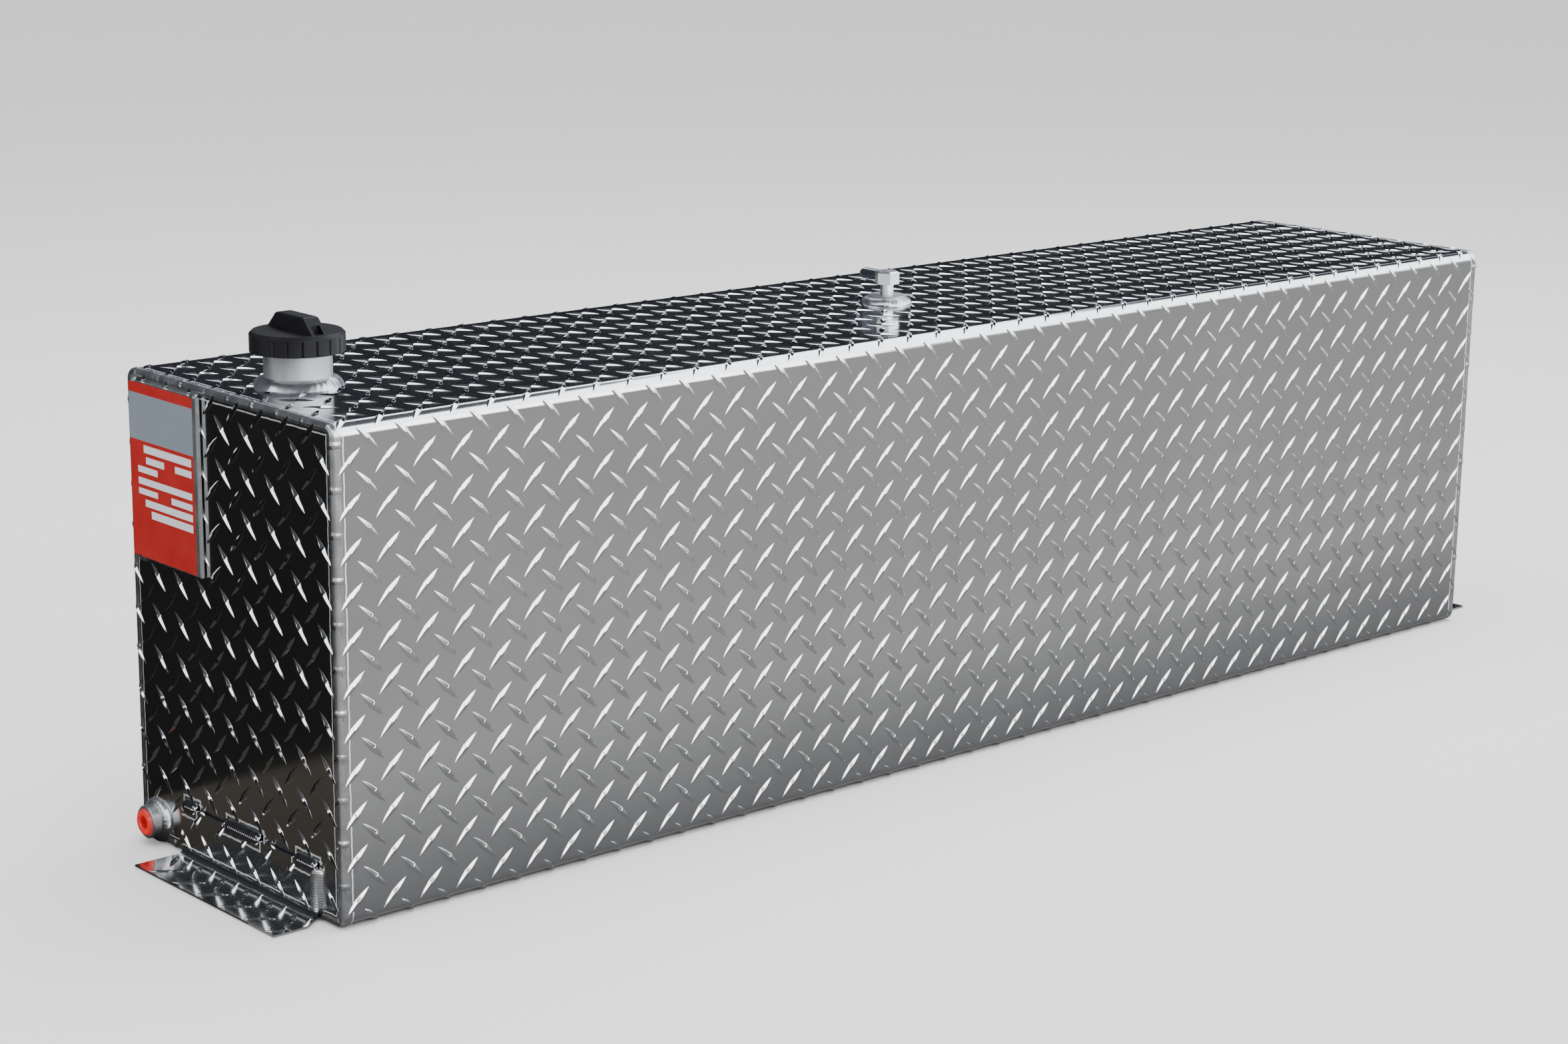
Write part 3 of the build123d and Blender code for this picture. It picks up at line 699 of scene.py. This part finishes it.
def on_left_end(u, v, rise):
    return (LEFT - rise, BACK - u, TOP + v)


def on_right_end(u, v, rise):
    return (RIGHT + rise, FRONT + u, TOP + v)


END_LUGS = (
    ("left_lugs", on_left_end, "left_end_tread"),
    ("right_lugs", on_right_end, "right_end_tread"),
)
for name, put, node in END_LUGS:
    reach = (-OVERHANG, DEPTH + OVERHANG, -HEIGHT - OVERHANG, OVERHANG)
    piece = stamp(name, lattice(SLASH_END, BACKSLASH_END, reach, hand=-1), put)
    trim(
        piece,
        ((0, FRONT + EDGE, 0), (0, -1, 0)),
        ((0, BACK - EDGE, 0), (0, 1, 0)),
        ((0, 0, BASE + EDGE), (0, 0, -1)),
        ((0, 0, TOP - EDGE), (0, 0, 1)),
    )
    if put is on_left_end:
        clear_disc(piece, outlet_foot, OUTLET_RADIUS + BOSS_BEAD_REACH)
    keep(piece, name, "plate_lugs", "tank", "tread_plate", node, angle=LUG_CREASE)
    print(name, len(piece.data.polygons), "faces")

# %% [markdown]
# ## Lugs on the feet
#
# The feet are folded from the same plate. The leg has one full row of lugs and the flange two,
# cut off at the sheet's edges and at the flange's clipped corner. The right foot's could be
# mirrored copies of the left one's, but a mirror leaves the faces turned inwards. So both are
# stamped from the same places, and the right one's faces are wound the other way round.


# %% Stamp the feet
def leg_side(side):
    def put(u, v, rise):
        return (side * (LEG_FACE + rise), foot_high.y - u, foot_high.z + v)

    return put


def flange_side(side):
    def put(u, v, rise):
        return (side * (-foot_low.x - u), foot_high.y + v, SHEET + rise)

    return put


LEG_SLASH, LEG_BACKSLASH = (23.9 * MM, -11.8 * MM), (4.6 * MM, -31.0 * MM)
LEG_FIELD = (0.0, 217 * MM, -36 * MM, -8 * MM)
FLANGE_SLASH, FLANGE_BACKSLASH = (32.2 * MM, -14.6 * MM), (13.0 * MM, -33.8 * MM)
FLANGE_FIELD = (2 * MM, 36 * MM, -236 * MM, 0.0)
# The clipped corner's two sides in millimetres: along Y and along X
CLIP_ALONG, CLIP_ACROSS = 11, 16
leg_places = lattice(LEG_SLASH, LEG_BACKSLASH, LEG_FIELD)
flange_places = lattice(FLANGE_SLASH, FLANGE_BACKSLASH, FLANGE_FIELD)
clip_corner = Vector((-LEG_FACE, foot_low.y + CLIP_ALONG * MM, 0))
for name, side in (("left", -1), ("right", 1)):
    leg = stamp(f"{name}_leg_lugs", leg_places, leg_side(side), mirrored=side > 0)
    trim(leg, ((0, clip_corner.y, 0), (0, -1, 0)), ((0, foot_high.y, 0), (0, 1, 0)))
    keep(leg, leg.name, "plate_lugs", "tank", "tread_plate", angle=LUG_CREASE)
    flange = stamp(f"{name}_flange_lugs", flange_places, flange_side(side), mirrored=side > 0)
    trim(
        flange,
        ((0, foot_low.y, 0), (0, -1, 0)),
        ((0, foot_high.y, 0), (0, 1, 0)),
        ((side * -foot_low.x, 0, 0), (side, 0, 0)),
        ((side * LEG_FACE, clip_corner.y, 0), (-side * CLIP_ALONG, -CLIP_ACROSS, 0)),
    )
    keep(flange, flange.name, "plate_lugs", "tank", "tread_plate", angle=LUG_CREASE)
    print(name, "foot:", len(leg.data.polygons) + len(flange.data.polygons), "faces of lugs")

# %% [markdown]
# ## Weld beads
#
# A bead is a row of overlapping puddles, like a fallen stack of coins. A round tube on a curve
# would be quick, but it has no ripples. Here the section is an arc from toe to toe, and along the
# run the arc swells and drops with each puddle, whose edge bows in the direction of travel. `bead`
# lays such a grid along any path, given as a function of the distance along it and of the point in
# the section. A run that isn't closed fades out over its first and last puddles.

# %% Lay a bead
FADE_PUDDLES = 2.5
# The share of its section that a bead keeps at its ends, and of its swell that it keeps at a toe
LEAST = 0.35


def arc_section(first, last, bulge, strips=8):
    """Points of a flat arc from one toe to the other, bulging to the left of the way there."""
    toe, end = Vector(first), Vector(last)
    chord = end - toe
    side = Vector((-chord.y, chord.x)).normalized()
    points = []
    for step in range(strips + 1):
        share = step / strips
        points.append((toe + chord * share + side * bulge * 4 * share * (1 - share), share))
    return points


def bead(run, put, section, pitch, swell, bow, closed=False, lump=None, steps=4):
    """A rippled bead as one mesh. put(distance, x, y) places a point of the section."""
    ripples = max(3, round(run / pitch))
    rows = ripples * steps
    centre = (section[0][0] + section[-1][0]) / 2
    width = len(section)
    total = rows if closed else rows + 1
    points, faces = [], []
    for row in range(total):
        share = row / steps % 1
        distance = row / rows * run
        puddle = sqrt(1 - share ** 2)
        extra = swell * (puddle - 0.5) + (lump(distance) if lump else 0.0)
        from_end = 1.0 if closed else min(distance, run - distance) / (FADE_PUDDLES * pitch)
        ending = sqrt(1 - (1 - min(from_end, 1.0)) ** 2)
        for point, side in section:
            crown = 4 * side * (1 - side)
            out = (point - centre).normalized()
            size = LEAST + (1 - LEAST) * ending
            swollen = LEAST + (1 - LEAST) * crown
            spot = centre + (point - centre) * size + out * extra * swollen * ending
            travel = distance + bow * (crown - 0.5) * ending
            points.append(put(travel, spot.x, spot.y))
    for row in range(rows):
        for strip in range(width - 1):
            near, far = row * width + strip, (row + 1) % total * width + strip
            faces.append((near, near + 1, far + 1, far))
    piece = mesh_piece("bead", points, faces)
    only(piece)
    bpy.ops.object.mode_set(mode="EDIT")
    bpy.ops.mesh.select_all(action="SELECT")
    bpy.ops.mesh.normals_make_consistent(inside=False)
    bpy.ops.object.mode_set(mode="OBJECT")
    return piece


# %% [markdown]
# ## The corner beads
#
# Each end is welded all round over the open corner between the wrap and the end plate. The bead
# is fine and even, and thickens into a lump wherever a lug runs into it, once in each pitch. It
# follows the same `around` as the lugs do, so lumps and lugs keep step round the whole tank.

# %% Weld the corners
corner_section = arc_section((-TOE, 0.0), (SHEET, -SHEET - TOE), 4.3 * MM, 7)
# Shares of a pitch: how far the lumps are shifted along, and half the width of one
LUMP_SHIFT, LUMP_HALF = 0.36, 0.075


def corner_lump(distance):
    """Height of the lumps: one in each pitch, every third one heavier."""
    place = distance / PITCH + LUMP_SHIFT
    heavy = 0.75 if floor(place) % 3 == 0 else 0.40
    off = place % 1 - 0.5
    return heavy * MM * max(0.0, 1 - (off / LUMP_HALF) ** 2)


def on_corner(side):
    def put(distance, x, y):
        return (side * (RIGHT - SHEET + x), *around(distance, y))

    return put


CORNER_BEADS = (
    ("left_corner_bead", -1, "left_end_weld"),
    ("right_corner_bead", 1, "right_end_weld"),
)
for name, side, node in CORNER_BEADS:
    sizes = {"pitch": 1.9 * MM, "swell": 0.22 * MM, "bow": 0.5 * MM, "steps": 3}
    piece = bead(GIRTH, on_corner(side), corner_section, closed=True, lump=corner_lump, **sizes)
    keep(piece, name, "weld_metal", "tank", "weld_metal", node, angle=60)
    print(name, len(piece.data.polygons), "faces")

# %% [markdown]
# ## Round beads
#
# The neck, the vent's boss and the outlet's boss have a fillet bead round their foot. A torus
# could stand in for each, but the eye goes to the neck's weld first, so all three are rippled. The
# neck's is laid heavy and uneven, and the outlet's is cut off where it meets the ground.

# %% Weld the bosses
# The two waves of the neck's bead, in radians along each metre of it
SLOW_WAVE, QUICK_WAVE = 190, 430


def ring_put(centre, radius, axis):
    """Places a section (x out from the boss's wall, y up from the sheet) round a boss."""

    def put(distance, x, y):
        turn = distance / radius
        if axis == "Z":
            return centre + Vector((cos(turn) * (radius + x), sin(turn) * (radius + x), y))
        return centre + Vector((-y, cos(turn) * (radius + x), sin(turn) * (radius + x)))

    return put


def fillet_section(leg, rise, bulge, strips=7):
    return arc_section((leg, -0.2 * MM), (-0.2 * MM, rise), -bulge, strips)


def uneven(distance):
    """Slow swelling of a bead laid by hand: two waves that don't keep step."""
    return (sin(distance * SLOW_WAVE) + 0.6 * sin(distance * QUICK_WAVE + 1.0)) * 0.5 * MM


# Each bead's leg, rise, pitch, swell and bow are in millimetres
ROUND_BEADS = (
    ("neck_bead", "fill_neck_weld", neck_foot, NECK_RADIUS, "Z", (10.0, 8.5, 4.8, 1.1, 2.2)),
    ("vent_bead", "vent_bung_weld", vent_foot, VENT_RADIUS, "Z", (6.0, 5.6, 3.4, 0.5, 1.4)),
    ("outlet_bead", "outlet_weld", outlet_foot, OUTLET_RADIUS, "X", (6.0, 6.0, 3.4, 0.6, 1.6)),
)
for name, node, centre, radius, axis, sizes in ROUND_BEADS:
    leg, rise, pitch, swell, bow = (size * MM for size in sizes)
    section = fillet_section(leg, rise, 1.1 * MM)
    path = ring_put(centre, radius, axis)
    lump = uneven if axis == "Z" else None
    piece = bead(2 * pi * radius, path, section, pitch, swell, bow, closed=True, lump=lump, steps=5)
    if axis == "X":
        trim(piece, ((0, 0, 0.3 * MM), (0, 0, -1)))
    keep(piece, name, "weld_metal", "tank", "weld_metal", node, angle=60)
    print(name, len(piece.data.polygons), "faces")

# %% [markdown]
# ## Stitches on the feet, tacks on the nameplate and the back's seam
#
# A stitch is a short bead that runs over the top edge of the leg on to the end plate, and its
# puddles are glossy. The foot has three of them and one more bead down its front edge, and the
# nameplate is held by three tacks. The seam that closes the wrap runs low along the back. All of
# them come from `bead`, with their own section, so no second way of making a weld is needed.

# %% Weld the feet, the nameplate and the back
STAND_OFF = LEG_FACE - RIGHT
over_edge = arc_section((STAND_OFF + 1.2 * MM, -5.2 * MM), (-0.2 * MM, 6.2 * MM), -2.6 * MM, 8)


def along_y(side, start_y, z):
    def put(distance, x, y):
        return (side * (RIGHT + x), start_y - distance, z + y)

    return put


def along_z(side, edge_y, start_z):
    def put(distance, x, y):
        return (side * (RIGHT + x), edge_y - y, start_z + distance)

    return put


for name, side, node in (("left", -1, "left_foot_weld"), ("right", 1, "right_foot_weld")):
    for number, (back_y, front_y) in enumerate(STITCHES):
        path = along_y(side, back_y * MM, foot_high.z)
        run = (back_y - front_y) * MM
        piece = bead(run, path, over_edge, pitch=2.9 * MM, swell=0.9 * MM, bow=1.5 * MM, steps=5)
        keep(piece, f"{name}_stitch_{number + 1}", "wet_weld", "tank", "weld_metal", node, angle=60)
    path = along_z(side, clip_corner.y, 8.0 * MM)
    run = foot_high.z - 9.0 * MM
    piece = bead(run, path, over_edge, pitch=2.3 * MM, swell=0.6 * MM, bow=1.1 * MM)
    keep(piece, f"{name}_foot_edge_bead", "weld_metal", "tank", "weld_metal", node, angle=60)

name_low, name_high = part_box("nameplate")
TACK = 12.0 * MM
tacks = (
    (name_high.y, name_high.z, 1),
    (name_low.y + TACK, name_high.z, 1),
    (name_high.y - TACK / 2, name_low.z, -1),
)
for number, (start_y, z, way) in enumerate(tacks):
    path = along_y(-1, start_y, z)
    toe, end = (STAND_OFF + 0.6 * MM, -1.5 * MM * way), (-0.2 * MM, 5.0 * MM * way)
    section = arc_section(toe, end, -1.6 * MM * way, 6)
    piece = bead(TACK, path, section, pitch=2.8 * MM, swell=0.7 * MM, bow=1.2 * MM)
    name = f"nameplate_tack_{number + 1}"
    keep(piece, name, "weld_metal", "tank", "weld_metal", "nameplate_tacks", angle=60)

SEAM_HALF = 4.5 * MM
seam_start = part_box("seam_weld")[0].x + TOE


def along_seam(distance, x, y):
    return (seam_start + distance, BACK + x, BASE + SEAM_UP + y)


seam_section = arc_section((0.0, -SEAM_HALF), (0.0, SEAM_HALF), -1.0 * MM, 6)
run = LENGTH - 2 * SHEET - 2 * TOE
piece = bead(run, along_seam, seam_section, pitch=3.2 * MM, swell=0.3 * MM, bow=1.3 * MM, steps=3)
keep(piece, "seam_bead", "weld_metal", "tank", "weld_metal", "seam_weld", angle=60)
print("stitches, tacks and seam are laid")

# %% [markdown]
# ## Floor and soft boxes
#
# The studio is a pale floor, a white world and three soft boxes: over the tank, before its front
# and beyond its left end. They light the plastics, the label and the floor. The metal mirrors
# other things, which the next cells set up, so the boxes themselves don't show in it.

# %% Light the room
world = bpy.data.worlds.new("studio")
bpy.context.scene.world = world
world.use_nodes = True
world.node_tree.nodes["Background"].inputs["Color"].default_value = colour(1.0, 1.0, 1.0)
world.node_tree.nodes["Background"].inputs["Strength"].default_value = 1.2

bpy.ops.object.select_all(action="DESELECT")
bpy.ops.mesh.primitive_plane_add(size=120)
studio_floor = bpy.context.object
studio_floor.name = "studio_floor"
shader, start, place = new_finish(
    "floor_paint", (0.86, 0.86, 0.86), roughness=0.8, Specular_IOR_Level=0.0
)
tint(start, shader, noise(start, place, 3.0), (0.85, 0.85, 0.85), (0.87, 0.87, 0.87))
studio_floor.data.materials.append(FINISHES["floor_paint"])


def soft_box(name, spot, turn, wide, tall, radiance):
    """A rectangle of light of the given radiance that neither the camera nor a mirror sees."""
    data = bpy.data.lights.new(name, "AREA")
    data.shape = "RECTANGLE"
    data.size, data.size_y = wide, tall
    data.energy = radiance * pi * wide * tall
    light = bpy.data.objects.new(name, data)
    bpy.context.scene.collection.objects.link(light)
    light.location = spot
    light.rotation_euler = [radians(angle) for angle in turn]
    light.visible_camera = False
    light.visible_glossy = False


soft_box("overhead_box", (0.72, 0.05, 3.4), (0, 0, -20), 5.5, 3.0, 3.5)
soft_box("front_box", (0.45, -4.3, 2.0), (72, 0, 0), 5.0, 1.3, 4.0)
soft_box("left_box", (-4.4, 0.0, 1.15), (75, 0, -90), 1.6, 1.3, 5.0)
print("the room has", len(bpy.data.lights), "soft boxes")

# %% [markdown]
# ## What the metal mirrors
#
# Bright metal shows its surroundings more than itself. Its colour could be darkened until each face
# looks right, but then the lugs would go dark too. So the metal stays bright, and each face is
# given something to mirror, on cards that only reflections see: painted reflections, which light
# nothing. A card is a matt plane, or a painted glow, and may be graded from its lower to its upper
# edge, as a sky is.

# %% Make the cards
ROOF = 3.46
ROOF_TURN = -19.0
ROOF_LINE = Vector((1.5, 1.45, 0.0))
ROOF_WIDE = 14.0
ROOF_EDGE = 2.1
roof_back = Vector((-sin(radians(ROOF_TURN)), cos(radians(ROOF_TURN)), 0.0))


def card_finish(name, base, glow=None, from_base=None, from_glow=None, start_at=-0.5, end_at=0.5):
    """A matt card, or one that glows by itself; both can be graded up the card's own height."""
    settings = {"Specular_IOR_Level": 0.0}
    if glow:
        settings |= {"Emission_Color": colour(*glow), "Emission_Strength": 1.0}
    shader, start, place = new_finish(name, base, roughness=0.9, **settings)
    up = start.node("SeparateXYZ", {"Vector": place}, output=1)
    graded = start.node("MapRange", {"Value": up, "From Min": start_at, "From Max": end_at})
    if from_base:
        tint(start, shader, graded, from_base, base)
    if from_glow:
        late = graded * graded * graded
        feed(shader, "Emission Color", blend_colours(start, late, colour(*from_glow), colour(*glow)))


def card(name, finish, spot, turn, wide, tall):
    bpy.ops.object.select_all(action="DESELECT")
    bpy.ops.mesh.primitive_plane_add(size=1, location=spot, rotation=[radians(angle) for angle in turn])
    made = bpy.context.object
    made.name = name
    made.scale = (wide, tall, 1)
    made.data.materials.append(FINISHES[finish])
    made.visible_camera = False
    made.visible_diffuse = False
    made.visible_shadow = False
    made.visible_transmission = False


def standing_card(name, finish, azimuth, away, wide, tall, centre=(0.0, 0.0)):
    turn = radians(azimuth)
    spot = (centre[0] + away * cos(turn), centre[1] + away * sin(turn), tall / 2)
    card(name, finish, spot, (90, 0, azimuth + 90), wide, tall)


def roof_card(name, finish, first, last, wide, height, along=0.0):
    """A card overhead, from one distance behind the roof's line to another."""
    sideways = Vector((roof_back.y, -roof_back.x, 0.0))
    spot = ROOF_LINE + roof_back * (first + last) / 2 + sideways * along
    card(name, finish, (spot.x, spot.y, height), (0, 0, ROOF_TURN), wide, last - first)


# Every card and mat below is a painted reflection, seen only in reflections: the bright ones are
# painted highlights, the dark ones painted dark surroundings, the mats a painted ground.
UNLIT = (0.0, 0.0, 0.0)
SKY = (3.8, 4.0, 4.2)
NIGHT = (0.016, 0.018, 0.022)
card_finish("card_white", UNLIT, (5.0, 5.0, 5.0))
# A painted lamp glint, seen only in reflections; it lights nothing.
card_finish("card_lamp_reflection", UNLIT, (3.0, 3.0, 3.0))
card_finish("card_sky", UNLIT, SKY)
card_finish("card_pale", UNLIT, SKY, from_glow=(0.24, 0.24, 0.24))
card_finish("card_dusk", UNLIT, (2.6, 2.4, 3.0), from_glow=NIGHT, start_at=-0.2, end_at=-0.5)
card_finish("card_grey", UNLIT, (0.070, 0.075, 0.085))
card_finish("card_black", UNLIT, NIGHT)
card_finish("mat_grey", (0.165, 0.165, 0.165))
# Painted shadow: this mat is darker towards the tank, standing in for the tank's shade on the ground.
card_finish("mat_painted_shadow", (0.085, 0.085, 0.087), from_base=(0.165, 0.165, 0.165))
card_finish("mat_brown", (0.030, 0.027, 0.023))
card_finish("mat_black", UNLIT, (0.012, 0.012, 0.012))
print("finishes with the cards' own", len(FINISHES))

# %% [markdown]
# ## Hanging the cards
#
# Each card's place follows from the direction in which a face or a flank throws the camera's view.
# The front mirrors a grey mat on the ground, darker close by with a painted shadow of the tank,
# where the flanks look down. The top and the left end mirror dark cards, a painted dark room
# behind the tank. The upper flanks mirror white cards, painted highlights, before the front and
# beyond the left end. Overhead hangs a glowing card, a painted bright sky, which ends in a painted
# dusk at the back, and a grey card under it, so that only one half of each lug on the top is
# bright.

# %% Hang the cards
roof_card("roof_white", "card_sky", -7.5, ROOF_EDGE, ROOF_WIDE, ROOF)
roof_card("roof_grey", "card_grey", -5.0, 0.5, 5.3, ROOF - 0.02, along=-1.85)
roof_card("roof_dusk", "card_dusk", ROOF_EDGE, 8.7, ROOF_WIDE, ROOF)
roof_card("roof_dusk_right", "card_dusk", -0.66, ROOF_EDGE, 5.0, ROOF - 0.03, along=4.55)
card("roof_black_left", "card_black", (-2.8, 5.2, ROOF - 0.04), (0, 0, 0), 7.0, 6.2)
card("front_white", "card_white", (0.75, -4.4, 1.5), (90, 0, 0), 6.5, 2.2)
standing_card("right_pale", "card_pale", -20, 4.0, 5.0, 1.2, centre=(0.4, FRONT))
standing_card("right_sky", "card_sky", -12, 7.0, 11.0, ROOF)
standing_card("left_white", "card_lamp_reflection", 155, 3.5, 1.7, 0.75, centre=(LEFT, 0.0))
standing_card("card_right_back", "card_black", 47, 6.0, 10.0, ROOF)
standing_card("left_grey", "card_grey", 160, 5.0, 5.0, ROOF, centre=(LEFT, 0.0))
standing_card("card_left_back", "card_black", 125, 6.0, 10.5, ROOF)
card("mat_all_round", "mat_grey", (0, 0, 0.001), (0, 0, 0), 40.0, 40.0)
# The mat before the front carries the painted shadow of the tank.
card("mat_before_front", "mat_painted_shadow", (0.4, FRONT - 0.17, 0.002), (0, 0, 0), 2.5, 0.34)
card("mat_behind_left", "mat_black", (LEFT - 2.3, 3.2, 0.002), (0, 0, 0), 4.6, 6.6)
card("mat_near_left", "mat_brown", (LEFT - 0.25, 0.04, 0.003), (0, 0, 0), 0.5, 0.4)
print("cards and mats are up")

# %% [markdown]
# ## Finishes on the solids
#
# The solids that stay in view take a finish each, in place of the plain colour they came with.
# Those that a piece above stands for are out of sight, and take their finish too, so that none is
# left bare. A finish could be set by hand on each, but one table says it for all of them.

# %% Paint the solids
SOLID_FINISHES = {
    "rolled_plate": (
        "tank_wrap", "left_end_plate", "right_end_plate", "left_foot_bracket", "right_foot_bracket",
        "front_tread", "top_tread", "left_end_tread", "right_end_tread",
    ),
    "mill_sheet": ("baffle_left", "baffle_right", "nameplate"),
    "weld_metal": (
        "seam_weld", "left_end_weld", "right_end_weld", "baffle_welds", "fill_neck_weld",
        "vent_bung_weld", "outlet_weld", "left_foot_weld", "right_foot_weld", "nameplate_tacks",
    ),
    "turned_pipe": ("fill_neck", "vent_bung", "outlet_bung"),
    "black_nylon": ("cap_shell", "cap_liner"),
    "seal_rubber": ("cap_gasket",),
    "plated_steel": ("cap_rivet", "vent_spring", "vent_poppet", "vent_body"),
    "vent_bonnet_metal": ("vent_bonnet",),
    "red_polythene": ("outlet_plug",),
    "nameplate_print": ("nameplate_label",),
}
painted = set()
for finish, nodes in SOLID_FINISHES.items():
    for node in nodes:
        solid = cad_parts[node]
        solid.data.materials.clear()
        solid.data.materials.append(FINISHES[finish])
        painted.add(node)
print("painted", len(painted), "of", len(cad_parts), "solids")
